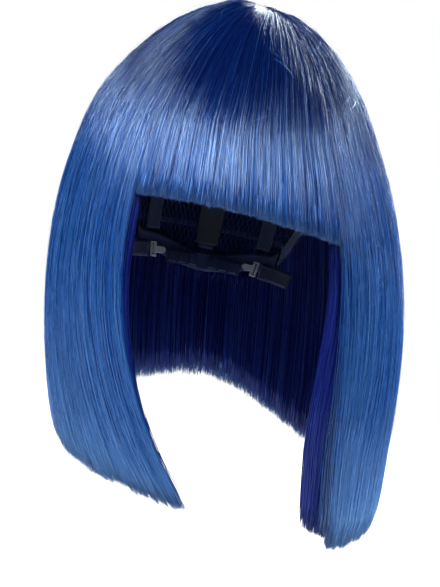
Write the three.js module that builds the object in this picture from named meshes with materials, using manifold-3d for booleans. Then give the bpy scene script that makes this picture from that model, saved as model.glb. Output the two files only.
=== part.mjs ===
// A costume wig: a straight, angled bob with a blunt fringe, sewn on a stretch cap.
// Millimetres, +Z up, the face looks along -Y, and +X is the wearer's left. The origin is the middle of
// the head opening, level with the lower ends of the ear tabs.
// Every soft layer is a flat plate or disc bent over one of two surfaces: the head, which the cap
// follows, and the hair, which stands off it and hangs below it. A place on either one is an azimuth
// in degrees round the head (0 at the face, 90 at the wearer's left, 180 at the back) and a height.

import * as THREE from "three";
import { mergeVertices } from "three/addons/utils/BufferGeometryUtils.js";
import Module from "manifold-3d";

const wasm = await Module();
wasm.setup();

const { cos, sin, sqrt, min, max, PI } = Math;
const DEGREE = PI / 180;

// ---- driving dimensions -------------------------------------------------------------------------

const HEAD = { halfWidth: 77, halfLength: 95, crown: 113 };

const HAIR = {
  halfWidth: 114, // at the widest level
  halfFront: 120,
  halfBack: 122,
  widest: -66, // height of the widest level
  crown: 130, // height of the top
  taperSide: 226, // below the widest level the width follows an ellipse of this half height
  taperBack: 150,
  lean: 0.135, // how far the hanging hair leans to the wearer's left, per millimetre of drop
  leanTop: 58, // the height where the lean starts
};

const LAYER = {
  ribbon: [-0.6, 0.4], // distances outside the head
  net: [1.8, 2.6],
  weft: [3.3, 4.8],
  strap: [-2.5, -1.4],
  label: [-2, -1.5],
  crownHair: [0, 4], // depths inside the hair's outer surface
  outerHair: [0, 7],
  underHair: [8, 12.5],
  fringeOuter: [0, 4.6],
  fringeUnder: [5.4, 9],
};

const CUT = {
  fringe: 11.5, // height of the fringe's edge at the middle
  fringeSlope: 5, // drop towards the wearer's left
  fringeDroop: 17, // drop towards both temples
  hemFront: -174, // height of the hem in front
  hemSide: -143, // where the side curtains meet the back one
  hemBack: -125,
  hemSlope: 12, // drop towards the wearer's left
  underShort: 12, // how much shorter the hanging hair's under layer is
  fringeUnderShort: 4,
};

const EDGE = {
  fringe: 36, // azimuth of the fringe's ends
  face: 37, // azimuth of the curtains' front edges at the temple
  sweep: { left: -6, right: 26 }, // how far they come round towards the middle on the way down
  sweptBy: 170, // the drop at which they have done so
  sweepPower: 2.6, // over 1, so most of it is near the hem
  back: 135, // azimuth where the side curtains meet the back one
  frontLock: 0.38, // the front lock's share of a side curtain
  under: { left: -0.09, right: 0.02 }, // where its under layer starts, as the same kind of share
  lockGap: 0.015, // between the front lock and the side hair, as the same kind of share
  backGap: 0.6, // degrees from the side curtain, or from the back one, to the azimuth between them
};

const SPLIT = {
  side: [6, -6], // heights between which the hanging hair leaves the crown hair
  fringe: [53, 42],
};

const RIM = [
  [0, 50],
  [60, 40],
  [100, 27],
  [125, -6],
  [145, -44],
  [180, -52],
]; // azimuth and height of the cap's edge

// Azimuths are in degrees, and on the wearer's left where a piece has a mirrored twin.
const BAND = { width: 12, forehead: 64, ear: [88, 139], nape: 141, toSpine: 2 };
const TAB = { azimuth: 76, half: 9.5, foot: 20, top: 44 };
const SPINE = { centre: [180, 103], inner: [150, 92], outer: [118, 78] }; // azimuth and height of the top
const STRAP = { from: 126, to: 147, low: -48, high: -38 };
const NAPE_TILT = -21; // how the cap's nape slopes in, in degrees
const WHORL = { radius: 7.5, thick: 3.5, sunk: 4, sag: 0.5 };
const PATCH_RADIUS = 24;
const WEFT = { height: 3.5, first: -41, pitch: 15.5, rows: 8, earAzimuth: 96 };
const TEMPLE_WEFT = { from: 62, to: 93, height: 52 };
const FRINGE_WEFT = { half: 58, height: 58 };
const TAPE = { azimuth: 168, height: -46, distance: -3.2, long: 22, wide: 8, thick: 0.8 };
const LOOP = { width: 4.5, rise: 2.2, gap: 1.4, wall: 0.7, pitch: 7, share: 0.8, sunk: 0.1 };
const LABEL = { half: 12.5, low: -34, high: 0 };
const HOOK = {
  base: 4, // from the strap's side of the hook to its tongue
  half: 5,
  tongue: 9, // to the middle of the tongue's round end
  tongueHalf: 2,
  slot: [1, 2.4], // the slot that the strap is sewn through
  slotHalf: 4,
  thick: 1.5,
  past: 1.8, // degrees from the strap's end to the hook
  turned: 4.5, // degrees past the strap's end where the hook lies along the head
};

// ---- surfaces -----------------------------------------------------------------------------------

// A smooth function through [place, value] stations, flat at each of them.
function through(stations) {
  return (place) => {
    const next = stations.findIndex(([at]) => at >= place);
    if (next <= 0) return stations.at(next < 0 ? -1 : 0)[1];
    const [[a, from], [b, to]] = stations.slice(next - 1, next + 1);
    return THREE.MathUtils.lerp(from, to, (1 - cos((PI * (place - a)) / (b - a))) / 2);
  };
}

const folded = (azimuth) => Math.abs(azimuth > 180 ? azimuth - 360 : azimuth);
const rimAt = through(RIM);
const rim = (azimuth) => rimAt(folded(azimuth));

// A point outside the head by a distance.
function onHead(azimuth, height, distance) {
  const around = sqrt(1 - (height / (HEAD.crown + distance)) ** 2);
  return new THREE.Vector3(
    (HEAD.halfWidth + distance) * around * sin(azimuth * DEGREE),
    -(HEAD.halfLength + distance) * around * cos(azimuth * DEGREE),
    height,
  );
}

// A point inside the hair's outer surface by a depth, where the height is the outer surface's.
function onHair(azimuth, height, depth) {
  const above = height > HAIR.widest;
  const reach = HAIR.crown - HAIR.widest;
  const behind = cos(azimuth * DEGREE) < 0;
  const share = (halfHeight) => sqrt(max(0, 1 - ((height - HAIR.widest) / halfHeight) ** 2));
  const sideways = share(above ? reach : HAIR.taperSide);
  const along = share(above ? reach : behind ? HAIR.taperBack : HAIR.taperSide);
  const lean = HAIR.lean * max(0, HAIR.leanTop - height);
  const half = behind ? HAIR.halfBack : HAIR.halfFront;
  const steep = above ? (height - HAIR.widest) / reach : 0;
  return new THREE.Vector3(
    lean + (HAIR.halfWidth - depth) * sideways * sin(azimuth * DEGREE),
    -(half - depth) * along * cos(azimuth * DEGREE),
    height - depth * steep,
  );
}

const hemAt = through([
  [50, CUT.hemFront],
  [EDGE.back, CUT.hemSide],
  [180, CUT.hemBack],
]);
const hem = (azimuth) => hemAt(folded(azimuth)) - CUT.hemSlope * sin(azimuth * DEGREE);

function fringeEdge(azimuth) {
  const across = sin(azimuth * DEGREE);
  return CUT.fringe - CUT.fringeSlope * across - CUT.fringeDroop * across ** 2;
}

// The azimuth of a side curtain's front edge at a height.
function frontEdge(height, name) {
  const drop = min(1, max(0, -height) / EDGE.sweptBy);
  return EDGE.face - EDGE.sweep[name] * drop ** EDGE.sweepPower;
}

// ---- solids -------------------------------------------------------------------------------------

// Moves each vertex of a geometry by place(x, y, z), and turns its faces out again if that mirrored it.
function bent(geometry, place) {
  const made = geometry.clone();
  for (const name of ["normal", "uv"]) made.deleteAttribute(name);
  const at = made.attributes.position;
  for (let i = 0; i < at.count; i++) at.setXYZ(i, ...place(at.getX(i), at.getY(i), at.getZ(i)).toArray());
  const closed = mergeVertices(made, 1e-3);
  if (volume(closed) < 0) closed.index.array.reverse();
  closed.computeVertexNormals();
  return closed;
}

function volume(geometry) {
  const at = geometry.attributes.position;
  const corner = (i) => new THREE.Vector3().fromBufferAttribute(at, geometry.index.getX(i));
  let total = 0;
  for (let i = 0; i < geometry.index.count; i += 3)
    total += corner(i).dot(corner(i + 1).cross(corner(i + 2))) / 6;
  return total;
}

// A plate of columns by rows, where place(u, v, w) takes its width, height and thickness, each 0 to 1.
const plate = (columns, rows, place) =>
  bent(new THREE.BoxGeometry(1, 1, 1, columns, rows, 1), (x, y, z) => place(x + 0.5, y + 0.5, z + 0.5));

// A disc, where place(p, azimuth, w) takes its share of the radius, its azimuth and its thickness.
function disc(rings, around, place) {
  const steps = Array.from({ length: rings + 1 }, (_, i) => i / rings);
  const profile = [
    ...steps.map((p) => new THREE.Vector2(p, 0)),
    ...steps.toReversed().map((p) => new THREE.Vector2(p, 1)),
  ];
  return bent(new THREE.LatheGeometry(profile, around), (x, y, z) =>
    place(Math.hypot(x, z), Math.atan2(x, z) / DEGREE, y),
  );
}

// A patch over the head between two azimuths, and between two functions of the azimuth.
const headPatch = (columns, rows, [from, to], low, high, layer) =>
  plate(columns, rows, (u, v, w) => {
    const azimuth = THREE.MathUtils.lerp(from, to, u);
    const height = THREE.MathUtils.lerp(low(azimuth), high(azimuth), v);
    return onHead(azimuth, height, THREE.MathUtils.lerp(...layer, w));
  });

// A patch of hair, where azimuth(u, height) and height(azimuth, v) say how it runs.
const hairPatch = (columns, rows, azimuth, height, layer) =>
  plate(columns, rows, (u, v, w) => {
    const level = height(azimuth(u, 0), v);
    return onHair(azimuth(u, level), level, THREE.MathUtils.lerp(...layer, w));
  });

function toSolid(geometry) {
  const bare = geometry.clone();
  for (const name of ["normal", "uv"]) bare.deleteAttribute(name);
  const merged = mergeVertices(bare, 1e-3);
  return new wasm.Manifold(
    new wasm.Mesh({
      numProp: 3,
      vertProperties: merged.attributes.position.array,
      triVerts: new Uint32Array(merged.index.array),
    }),
  );
}

function toGeometry(solid) {
  const mesh = solid.getMesh();
  const made = new THREE.BufferGeometry();
  made.setAttribute("position", new THREE.BufferAttribute(mesh.vertProperties, 3));
  made.setIndex(new THREE.BufferAttribute(mesh.triVerts, 1));
  made.computeVertexNormals();
  return made;
}

// ---- materials ----------------------------------------------------------------------------------

const finish = (color, roughness) => new THREE.MeshStandardMaterial({ color, roughness, metalness: 0 });
const MATERIAL = {
  hair: finish(0x1c479c, 0.35),
  underHair: finish(0x15367f, 0.4),
  net: finish(0x14264f, 0.9),
  ribbon: finish(0x1b3768, 0.8),
  weft: finish(0x173a86, 0.7),
  elastic: finish(0x1a2c55, 0.85),
  plastic: finish(0xd9dde6, 0.3),
  label: finish(0xf0f0ee, 0.6),
};

const wig = new THREE.Group();

function add(name, geometry, material, parent = wig) {
  const mesh = new THREE.Mesh(geometry, material);
  mesh.name = name;
  parent.add(mesh);
  return mesh;
}

const SIDES = [
  ["left", 1],
  ["right", -1],
];

// ---- cap ----------------------------------------------------------------------------------------

// The stretch net over the crown, from its top to the cap's edge.
function addNet() {
  const net = disc(12, 48, (p, azimuth, w) => {
    const distance = THREE.MathUtils.lerp(...LAYER.net, w);
    const polar = p * Math.acos(rim(azimuth) / (HEAD.crown + distance));
    return onHead(azimuth, (HEAD.crown + distance) * cos(polar), distance);
  });
  add("crown_net", net, MATERIAL.net);
}

// The ribbons round the edge: forehead, over the ears and nape, with a tab in front of each ear.
function addEdgeBands() {
  const upper = (azimuth) => rim(azimuth) + BAND.width;
  const band = (from, to, columns) => headPatch(columns, 1, [from, to], rim, upper, LAYER.ribbon);
  add("forehead_band", band(-BAND.forehead, BAND.forehead, 16), MATERIAL.ribbon);
  add("nape_band", band(BAND.nape, 360 - BAND.nape, 10), MATERIAL.ribbon);
  const tabTop = () => TAB.top;
  const tabFoot = (azimuth) => {
    const off = (Math.abs(azimuth) - TAB.azimuth) / TAB.half;
    return TAB.foot - TAB.foot * sqrt(max(0, 1 - off ** 2));
  };
  for (const [name, side] of SIDES) {
    const ends = [side * (TAB.azimuth - TAB.half), side * (TAB.azimuth + TAB.half)];
    add(`ear_tab_${name}`, headPatch(8, 3, ends, tabFoot, tabTop, LAYER.ribbon), MATERIAL.ribbon);
    add(`ear_band_${name}`, band(side * BAND.ear[0], side * BAND.ear[1], 9), MATERIAL.ribbon);
  }
}

// The upright elastic ribbons that the rows of hair are sewn to.
function addSpines() {
  const footHalf = 6; // degrees that the foot takes up at its widest
  const spine = (middle, top) =>
    plate(1, 8, (u, v, w) => {
      const foot = BAND.width + BAND.toSpine + max(rim(middle - footHalf), rim(middle + footHalf));
      const height = THREE.MathUtils.lerp(foot, top, v);
      const around = sqrt(1 - (height / HEAD.crown) ** 2) * HEAD.halfLength;
      const azimuth = middle + ((u - 0.5) * BAND.width) / around / DEGREE;
      return onHead(azimuth, height, THREE.MathUtils.lerp(...LAYER.ribbon, w));
    });
  add("spine_centre", spine(...SPINE.centre), MATERIAL.elastic);
  for (const [name, side] of SIDES) {
    add(`spine_inner_${name}`, spine(side * SPINE.inner[0], SPINE.inner[1]), MATERIAL.elastic);
    add(`spine_outer_${name}`, spine(side * SPINE.outer[0], SPINE.outer[1]), MATERIAL.elastic);
  }
}

// The closed patch at the top of the crown that the hair springs from.
function addCrownPatch() {
  const patch = disc(3, 20, (p, azimuth, w) => {
    const distance = THREE.MathUtils.lerp(...LAYER.weft, w);
    const height = (HEAD.crown + distance) * cos((p * PATCH_RADIUS) / HEAD.crown);
    return onHead(azimuth, height, distance);
  });
  add("crown_patch", patch, MATERIAL.net);
}

// The rows of machine-sewn hair across the back, and the ones at the temples and behind the fringe.
function addWefts() {
  const row = (from, to, height, columns) => {
    const low = () => height;
    const high = () => height + WEFT.height;
    return headPatch(columns, 1, [from, to], low, high, LAYER.weft);
  };
  const aboveRim = 4;
  for (let i = 0; i < WEFT.rows; i++) {
    const height = WEFT.first + i * WEFT.pitch;
    let start = WEFT.earAzimuth;
    while (rim(start) > height - aboveRim) start++;
    add(`weft_row_${i + 1}`, row(start, 360 - start, height, 16), MATERIAL.weft);
  }
  for (const [name, side] of SIDES) {
    const temple = row(side * TEMPLE_WEFT.from, side * TEMPLE_WEFT.to, TEMPLE_WEFT.height, 4);
    add(`temple_weft_${name}`, temple, MATERIAL.weft);
  }
  add("fringe_weft", row(-FRINGE_WEFT.half, FRINGE_WEFT.half, FRINGE_WEFT.height, 16), MATERIAL.weft);
}

// A sewn-in tape of three raised loops on each side of the nape, inside the band.
function addHookTapes() {
  const high = TAPE.wide * LOOP.share;
  let solid = toSolid(new THREE.BoxGeometry(TAPE.long, TAPE.thick, TAPE.wide));
  for (const i of [-1, 0, 1]) {
    const bridge = new THREE.BoxGeometry(LOOP.width, LOOP.rise, high);
    const slot = new THREE.BoxGeometry(LOOP.width + 1, LOOP.gap, high - 2 * LOOP.wall);
    bridge.translate(i * LOOP.pitch, LOOP.sunk - (TAPE.thick + LOOP.rise) / 2, 0);
    slot.translate(i * LOOP.pitch, -(TAPE.thick + LOOP.gap) / 2, 0);
    solid = solid.add(toSolid(bridge)).subtract(toSolid(slot));
  }
  for (const [name, side] of SIDES) {
    const mesh = add(`hook_tape_${name}`, toGeometry(solid), MATERIAL.elastic);
    const azimuth = side * TAPE.azimuth;
    mesh.position.copy(onHead(azimuth, TAPE.height, TAPE.distance));
    mesh.rotation.set(NAPE_TILT * DEGREE, 0, (180 + azimuth) * DEGREE, "ZXY");
  }
}

// The blank satin label, sewn flat inside the centre spine.
function addLabel() {
  const label = plate(6, 4, (u, v, w) => {
    const height = THREE.MathUtils.lerp(LABEL.low, LABEL.high, v);
    const azimuth = 180 + ((u - 0.5) * 2 * LABEL.half) / HEAD.halfLength / DEGREE;
    return onHead(azimuth, height, THREE.MathUtils.lerp(...LAYER.label, w));
  });
  add("care_label", label, MATERIAL.label);
}

// The elastic strap at each side of the nape, with the plastic hook on its free end.
function addStraps() {
  const middle = (STRAP.low + STRAP.high) / 2;
  for (const [name, side] of SIDES) {
    const ends = [side * STRAP.from, side * STRAP.to];
    const low = () => STRAP.low;
    const high = () => STRAP.high;
    add(`adjuster_strap_${name}`, headPatch(6, 1, ends, low, high, LAYER.strap), MATERIAL.elastic);

    const outline = new THREE.Shape();
    outline.moveTo(0, -HOOK.half);
    outline.lineTo(HOOK.base, -HOOK.half);
    outline.lineTo(HOOK.base, -HOOK.tongueHalf);
    outline.lineTo(HOOK.tongue, -HOOK.tongueHalf);
    outline.absarc(HOOK.tongue, 0, HOOK.tongueHalf, -PI / 2, PI / 2, false);
    outline.lineTo(HOOK.base, HOOK.tongueHalf);
    outline.lineTo(HOOK.base, HOOK.half);
    outline.lineTo(0, HOOK.half);
    outline.closePath();
    const slot = new THREE.Path();
    slot.moveTo(HOOK.slot[0], -HOOK.slotHalf);
    slot.lineTo(HOOK.slot[0], HOOK.slotHalf);
    slot.lineTo(HOOK.slot[1], HOOK.slotHalf);
    slot.lineTo(HOOK.slot[1], -HOOK.slotHalf);
    slot.closePath();
    outline.holes.push(slot);
    const settings = { depth: HOOK.thick, bevelEnabled: false, curveSegments: 6 };
    const hook = new THREE.ExtrudeGeometry(outline, settings);
    hook.rotateX(PI / 2);
    if (side > 0) hook.rotateZ(PI);
    if (side > 0) hook.translate(0, -HOOK.thick, 0);
    const mesh = add(`adjuster_hook_${name}`, hook, MATERIAL.plastic);
    mesh.position.copy(onHead(side * (STRAP.to + HOOK.past), middle, -HOOK.thick));
    mesh.rotation.set(NAPE_TILT * DEGREE, 0, (180 + side * (STRAP.to + HOOK.turned)) * DEGREE, "ZXY");
  }
}

// ---- hair ---------------------------------------------------------------------------------------

// The hair that lies on the crown, in four sectors round the whorl, and the whorl itself.
function addCrownHair() {
  const reach = HAIR.crown - HAIR.widest;
  const start = 0.075; // radians down from the top, where the whorl ends
  const sector = (from, to, bottom, columns) =>
    plate(columns, 7, (u, v, w) => {
      const end = Math.acos((bottom - HAIR.widest) / reach);
      const height = HAIR.widest + reach * cos(THREE.MathUtils.lerp(start, end, v));
      return onHair(THREE.MathUtils.lerp(from, to, u), height, THREE.MathUtils.lerp(...LAYER.crownHair, w));
    });
  const bottom = SPLIT.side[0];
  const beforeBack = EDGE.back - EDGE.backGap;
  const afterBack = EDGE.back + EDGE.backGap;
  add("crown_hair_front", sector(-EDGE.fringe, EDGE.fringe, SPLIT.fringe[0], 8), MATERIAL.hair);
  add("crown_hair_left", sector(EDGE.face, beforeBack, bottom, 7), MATERIAL.hair);
  add("crown_hair_back", sector(afterBack, 360 - afterBack, bottom, 7), MATERIAL.hair);
  add("crown_hair_right", sector(-beforeBack, -EDGE.face, bottom, 7), MATERIAL.hair);
  const whorl = disc(2, 12, (p, azimuth, w) =>
    new THREE.Vector3(
      p * WHORL.radius * sin(azimuth * DEGREE),
      -p * WHORL.radius * cos(azimuth * DEGREE),
      HAIR.crown - WHORL.sunk + WHORL.thick * w - WHORL.sag * p * p,
    ),
  );
  add("crown_whorl", whorl, MATERIAL.hair);
}

// The fringe below the forehead, in two layers.
function addFringe() {
  const azimuth = (u) => THREE.MathUtils.lerp(-EDGE.fringe, EDGE.fringe, u);
  const height = (at, v) => THREE.MathUtils.lerp(fringeEdge(at), SPLIT.fringe[1], v);
  const shorter = (at, v) => THREE.MathUtils.lerp(fringeEdge(at) + CUT.fringeUnderShort, SPLIT.fringe[1], v);
  add("fringe_hair", hairPatch(14, 4, azimuth, height, LAYER.fringeOuter), MATERIAL.hair);
  add("fringe_under_hair", hairPatch(12, 3, azimuth, shorter, LAYER.fringeUnder), MATERIAL.underHair);
}

// The hanging hair, each lock in an outer and an under layer: a front and a side one at each side,
// and one behind.
function addCurtains() {
  const top = SPLIT.side[1];
  const full = (azimuth, v) => THREE.MathUtils.lerp(hem(azimuth), top, v);
  const under = (azimuth, v) => THREE.MathUtils.lerp(hem(azimuth) + CUT.underShort, top, v);
  const addLock = (outerName, underName, columns, azimuth, underAzimuth = azimuth) => {
    add(outerName, hairPatch(columns, 9, azimuth, full, LAYER.outerHair), MATERIAL.hair);
    add(underName, hairPatch(columns, 8, underAzimuth, under, LAYER.underHair), MATERIAL.underHair);
  };
  for (const [name, side] of SIDES) {
    const between = (from, to) => (u, height) => {
      const share = THREE.MathUtils.lerp(from, to, u);
      return side * THREE.MathUtils.lerp(frontEdge(height, name), EDGE.back - EDGE.backGap, share);
    };
    const front = between(0, EDGE.frontLock);
    const frontUnder = between(EDGE.under[name], EDGE.frontLock);
    addLock(`${name}_front_lock`, `${name}_front_under_hair`, 6, front, frontUnder);
    addLock(`${name}_side_hair`, `${name}_side_under_hair`, 7, between(EDGE.frontLock + EDGE.lockGap, 1));
  }
  const afterBack = EDGE.back + EDGE.backGap;
  const behind = (u) => THREE.MathUtils.lerp(afterBack, 360 - afterBack, u);
  addLock("back_hair", "back_under_hair", 9, behind);
}

addNet();
addEdgeBands();
addSpines();
addCrownPatch();
addWefts();
addHookTapes();
addLabel();
addStraps();
addCrownHair();
addFringe();
addCurtains();

export default wig;
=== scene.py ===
# A costume wig: a straight, angled bob with a blunt fringe on a stretch cap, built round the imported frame.
# Millimetres and degrees in the driving dimensions, metres in Blender. +Z is up, the face looks along -Y,
# and +X is the wearer's left. A place on the hair is an azimuth in degrees round the head (0 at the face,
# 90 at the wearer's left, 180 behind), a height and a depth inside the outer surface. A place on the cap is
# an azimuth, a height and a distance outside the head. A turn is the angle down the hair from the crown.

import math

import bpy
import numpy as np
from mathutils import Matrix, Vector


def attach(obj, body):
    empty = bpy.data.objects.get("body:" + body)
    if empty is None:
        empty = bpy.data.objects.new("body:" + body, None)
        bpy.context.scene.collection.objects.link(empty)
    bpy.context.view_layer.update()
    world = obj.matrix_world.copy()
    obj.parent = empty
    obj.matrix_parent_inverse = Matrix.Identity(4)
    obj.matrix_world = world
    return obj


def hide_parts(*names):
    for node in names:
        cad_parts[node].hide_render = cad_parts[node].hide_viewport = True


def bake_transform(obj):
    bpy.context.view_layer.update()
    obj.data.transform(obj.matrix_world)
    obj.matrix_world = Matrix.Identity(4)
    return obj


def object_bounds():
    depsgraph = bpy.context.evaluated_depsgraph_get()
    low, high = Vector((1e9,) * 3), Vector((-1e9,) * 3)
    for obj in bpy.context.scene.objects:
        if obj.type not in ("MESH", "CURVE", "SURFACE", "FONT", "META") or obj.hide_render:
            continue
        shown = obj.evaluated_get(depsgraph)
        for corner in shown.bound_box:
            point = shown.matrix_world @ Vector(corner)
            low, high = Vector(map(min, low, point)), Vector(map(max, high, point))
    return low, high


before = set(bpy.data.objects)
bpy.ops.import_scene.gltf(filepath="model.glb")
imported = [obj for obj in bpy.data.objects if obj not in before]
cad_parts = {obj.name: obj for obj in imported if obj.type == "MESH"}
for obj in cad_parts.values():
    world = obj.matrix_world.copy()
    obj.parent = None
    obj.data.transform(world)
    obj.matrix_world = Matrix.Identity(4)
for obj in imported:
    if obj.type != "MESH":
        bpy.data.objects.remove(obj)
CAD_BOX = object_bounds()
SCENE = bpy.context.scene

MM = 0.001
UP = np.array([0.0, 0.0, 1.0])
SIDES = {"left": 1, "right": -1}

# ---- driving dimensions, as the frame has them ----

HEAD = {"half_width": 77, "half_length": 95, "crown": 113}
HAIR = {
    "half_width": 114, "half_front": 120, "half_back": 122, "widest": -66, "crown": 130,
    "taper_side": 226, "taper_back": 150, "lean": 0.135, "lean_top": 58,
}
REACH = HAIR["crown"] - HAIR["widest"]
EDGE = {"fringe": 36.5, "face": 36.5, "back": 135, "front_lock": 0.3875, "swept_by": 170, "power": 2.6}
SWEEP = {"left": -6, "right": 26}
UNDER_START = {"left": -0.09, "right": 0.02}
HEM = {"stations": [(50, -174), (135, -143), (180, -125)], "slope": 12}
FRINGE = {"middle": 11.5, "slope": 5, "droop": 17}
RIM = [(0, 50), (60, 40), (100, 27), (125, -6), (145, -44), (180, -52)]
BAND = {"width": 12, "forehead": 64, "ear": (88, 139), "nape": 141, "to_spine": 2, "ear_rise": 60}
BAND_LEVEL = {"forehead": 50, "ear": -5, "nape": -45, "tab": 22}  # where each one's length is measured
TAB = {"azimuth": 76, "half": 9.5, "foot": 20, "top": 44}
SPINES = {"centre": (180, 103), "inner": (150, 92), "outer": (118, 78)}
STRAP = {"from": 126, "to": 147, "low": -48, "high": -38, "inner": -2.4, "outer": -1.5}
PATCH = {"radius": 24, "inner": 3.6, "outer": 4.6}
RIBBON_AT = (-0.6, 0.4)  # how far a ribbon's two faces are outside the head
THREAD = 0.1  # how far a seam lies off the inner face
WEFT = {"height": 3.5, "first": -41, "pitch": 15.5, "rows": 8, "ear": 96, "inner": 3.3, "outer": 4.5}
WEFT_ZIGZAG = {"distance": 3.1, "pitch": 1.7, "long": 1.6, "zigzag": 1.2}
TEMPLE_WEFT = {"from": 62, "to": 93, "height": 52}
FRINGE_WEFT = {"half": 58, "height": 58}
LABEL = {"half": 10, "low": -34, "high": 0, "inner": -1.85, "outer": -1.5, "thread": -2.1}


def lerp(a, b, t):
    return a + (b - a) * t


def smooth(t):
    t = np.clip(t, 0, 1)
    return t * t * (3 - 2 * t)


def unit(vectors):
    return vectors / (np.linalg.norm(vectors, axis=-1, keepdims=True) + 1e-9)


def fold(azimuth):
    return np.abs((np.asarray(azimuth, float) + 180) % 360 - 180)


# ---- surfaces ----


def through(stations, azimuth):
    """A smooth height through (azimuth, height) stations, alike on both sides and flat at each of them."""
    folded = fold(azimuth)
    heights = np.where(folded < stations[0][0], stations[0][1], float(stations[-1][1]))
    for (a, low), (b, high) in zip(stations, stations[1:]):
        inside = (folded >= a) & (folded <= b)
        share = (1 - np.cos(np.pi * (folded - a) / (b - a))) / 2
        heights = np.where(inside, lerp(low, high, share), heights)
    return heights


def rim(azimuth):
    """The height of the cap's edge at an azimuth."""
    return through(RIM, azimuth)


def on_head(azimuth, height, distance):
    """Points outside the head by a distance."""
    turn = np.radians(azimuth)
    around = np.sqrt(np.clip(1 - (height / (HEAD["crown"] + distance)) ** 2, 0, 1))
    x = (HEAD["half_width"] + distance) * around * np.sin(turn)
    y = -(HEAD["half_length"] + distance) * around * np.cos(turn)
    return np.stack(np.broadcast_arrays(x, y, height), -1).astype(float)


def head_normals(azimuth, height):
    """The head's outward normals."""
    reach = np.array([HEAD["half_width"], HEAD["half_length"], HEAD["crown"]], float)
    return unit(on_head(azimuth, height, 0) / reach**2)


def on_hair(azimuth, height, depth):
    """Points inside the hair's outer surface by a depth."""
    turn = np.radians(azimuth)
    rise = height - HAIR["widest"]
    above = rise > 0
    behind = np.cos(turn) < 0
    dome = np.sqrt(np.clip(1 - (rise / REACH) ** 2, 0, 1))
    side = np.sqrt(np.clip(1 - (rise / HAIR["taper_side"]) ** 2, 0, 1))
    back = np.sqrt(np.clip(1 - (rise / HAIR["taper_back"]) ** 2, 0, 1))
    sideways = np.where(above, dome, side)
    along = np.where(above, dome, np.where(behind, back, side))
    half = np.where(behind, HAIR["half_back"], HAIR["half_front"])
    lean = HAIR["lean"] * np.maximum(0, HAIR["lean_top"] - height)
    x = lean + (HAIR["half_width"] - depth) * sideways * np.sin(turn)
    y = -(half - depth) * along * np.cos(turn)
    z = height - depth * np.where(above, rise / REACH, 0)
    return np.stack(np.broadcast_arrays(x, y, z), -1)


def hair_normals(azimuth, height):
    """The hair surface's outward normals."""
    step = 0.5
    across = on_hair(azimuth + step, height, 0) - on_hair(azimuth - step, height, 0)
    lower = height - np.where(height > HAIR["crown"] - 2, -step, step)
    down = on_hair(azimuth, lower, 0) - on_hair(azimuth, height, 0)
    normal = unit(np.cross(down, across))
    centre = np.array([0.0, 0.0, HAIR["widest"]])
    flip = np.sum(normal * (on_hair(azimuth, height, 0) - centre), -1, keepdims=True) < 0
    return np.where(flip, -normal, normal)


def level(turn):
    """The height after a turn in degrees down from the crown; past the widest level it falls straight."""
    turn = np.asarray(turn, float)
    dome = HAIR["widest"] + REACH * np.cos(np.radians(np.minimum(turn, 90)))
    return dome - REACH * np.radians(np.maximum(0, turn - 90))


def turn_to(height):
    """The turn down from the crown at which a height is reached."""
    height = np.asarray(height, float)
    cosine = np.clip((height - HAIR["widest"]) / REACH, 0, 1)
    return np.degrees(np.arccos(cosine)) + np.degrees(np.maximum(0, HAIR["widest"] - height) / REACH)


def hem(azimuth):
    """The height of the bob's hem, which is lower on the wearer's left."""
    return through(HEM["stations"], azimuth) - HEM["slope"] * np.sin(np.radians(azimuth))


def fringe_edge(azimuth):
    """The height of the fringe's hem."""
    across = np.sin(np.radians(azimuth))
    return FRINGE["middle"] - FRINGE["slope"] * across - FRINGE["droop"] * across**2


def front_edge(height, name):
    """How far round the head the hair of one side starts, which changes on the way down."""
    drop = np.clip(-height / EDGE["swept_by"], 0, 1)
    return EDGE["face"] - SWEEP[name] * drop ** EDGE["power"]


SWIRL = {"most": 34, "fade": 7}
HUMP = {"height": 2.4, "turn": 8, "spread": 6, "azimuth": 215}
WAVES = {"count": 5, "height": 0.8, "length": 55, "seed": 17}


def swirl(turn):
    """How far the strands turn round the whorl as they leave it, in degrees."""
    return SWIRL["most"] * np.exp(-turn / SWIRL["fade"])


def hump(azimuth, turn):
    """How far the combed-back hair stands up behind the whorl."""
    along = np.exp(-(((turn - HUMP["turn"]) / HUMP["spread"]) ** 2))
    return HUMP["height"] * along * np.maximum(0, np.cos(np.radians(azimuth - HUMP["azimuth"])))


def swell(azimuth, height):
    """The hair's slow swells: a few long waves that cross each other."""
    draw = np.random.default_rng(WAVES["seed"])
    total = 0
    for _ in range(WAVES["count"]):
        across, down, start = draw.normal(0, 1), draw.normal(0, 0.35), draw.uniform(0, 2 * np.pi)
        run = across * azimuth * 2 + down * height
        total = total + np.sin(run * 2 * np.pi / (3 * WAVES["length"]) + start)
    return WAVES["height"] * (total / math.sqrt(WAVES["count"]) / 1.4)


# ---- meshes ----


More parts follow.
